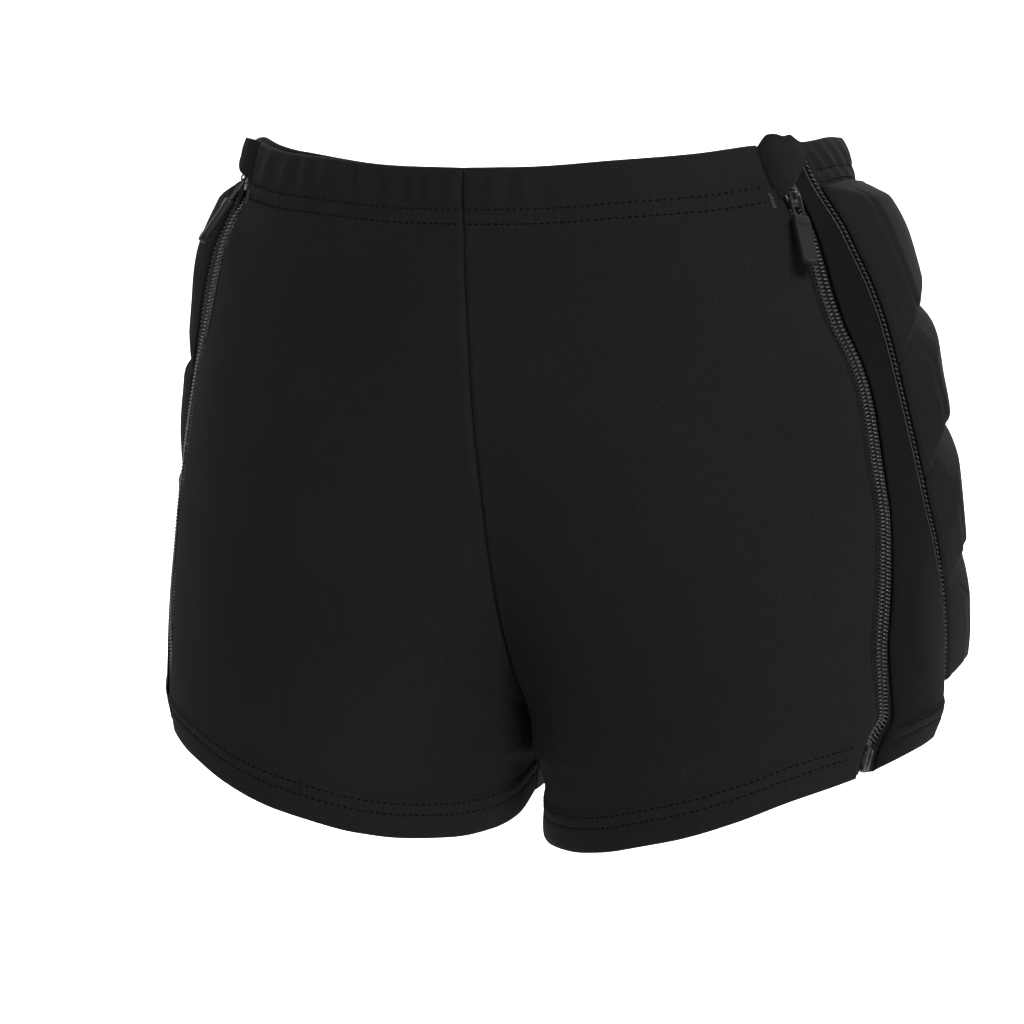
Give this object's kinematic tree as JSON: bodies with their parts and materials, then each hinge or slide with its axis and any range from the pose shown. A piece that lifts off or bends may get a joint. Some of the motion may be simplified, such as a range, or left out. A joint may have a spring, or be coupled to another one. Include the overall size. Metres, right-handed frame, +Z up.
{
  "type": "padded hip shorts",
  "caption": "Stretch shorts with foam blocks over each hip and a full-length zip down each side, worn as a hip pad for skating and snow sport.",
  "frame": {"origin": "centre of the waist opening, level with the front of the rim", "axes": "+Z up towards the wearer's head, the wearer faces -Y, +X to the wearer's left"},
  "size_m": [0.3716, 0.2226, 0.3106],
  "materials": {
    "stretch_cloth": "matt black stretch knit",
    "pad_cover": "matt black knit over foam",
    "zip_tape": "black woven tape",
    "zip_teeth": "black coils with a soft shine",
    "zip_metal": "black lacquered metal",
    "pull_rubber": "black moulded rubber"
  },
  "bodies": {
    "shorts": {"front_panel_left": "stretch_cloth", "front_panel_right": "stretch_cloth", "side_panel_left": "stretch_cloth", "side_panel_right": "stretch_cloth", "back_panel_left": "stretch_cloth", "back_panel_right": "stretch_cloth", "waistband_front_left": "stretch_cloth", "waistband_front_right": "stretch_cloth", "waistband_back_left": "stretch_cloth", "waistband_back_right": "stretch_cloth", "hip_pad_upper_left": "pad_cover", "hip_pad_middle_left": "pad_cover", "hip_pad_lower_left": "pad_cover", "hip_pad_bottom_left": "pad_cover", "hip_pad_upper_right": "pad_cover", "hip_pad_middle_right": "pad_cover", "hip_pad_lower_right": "pad_cover", "hip_pad_bottom_right": "pad_cover", "zip_flap_left": "stretch_cloth", "zip_flap_right": "stretch_cloth", "zip_tape_front_left": "zip_tape", "zip_tape_front_right": "zip_tape", "zip_tape_side_left": "zip_tape", "zip_tape_side_right": "zip_tape", "zip_chain_left": "zip_teeth", "zip_chain_right": "zip_teeth", "zip_box_left": "zip_metal", "zip_box_right": "zip_metal", "zip_slider_left": "zip_metal", "zip_slider_right": "zip_metal"},
    "left_pull": {"zip_link_left": "zip_metal", "zip_tab_left": "pull_rubber"},
    "right_pull": {"zip_link_right": "zip_metal", "zip_tab_right": "pull_rubber"}
  },
  "joints": [
    {"name": "left_pull_hinge", "type": "hinge", "parent": "shorts", "child": "left_pull", "pos_m": [0.12913, -0.05154, -0.01122], "axis": [-0.6689, -0.739, 0.0806], "range_deg": [-4, 78]},
    {"name": "right_pull_hinge", "type": "hinge", "parent": "shorts", "child": "right_pull", "pos_m": [-0.12255, -0.05138, 0.00464], "axis": [-0.6051, 0.7907, 0.0924], "range_deg": [-10, 66]}
  ]
}
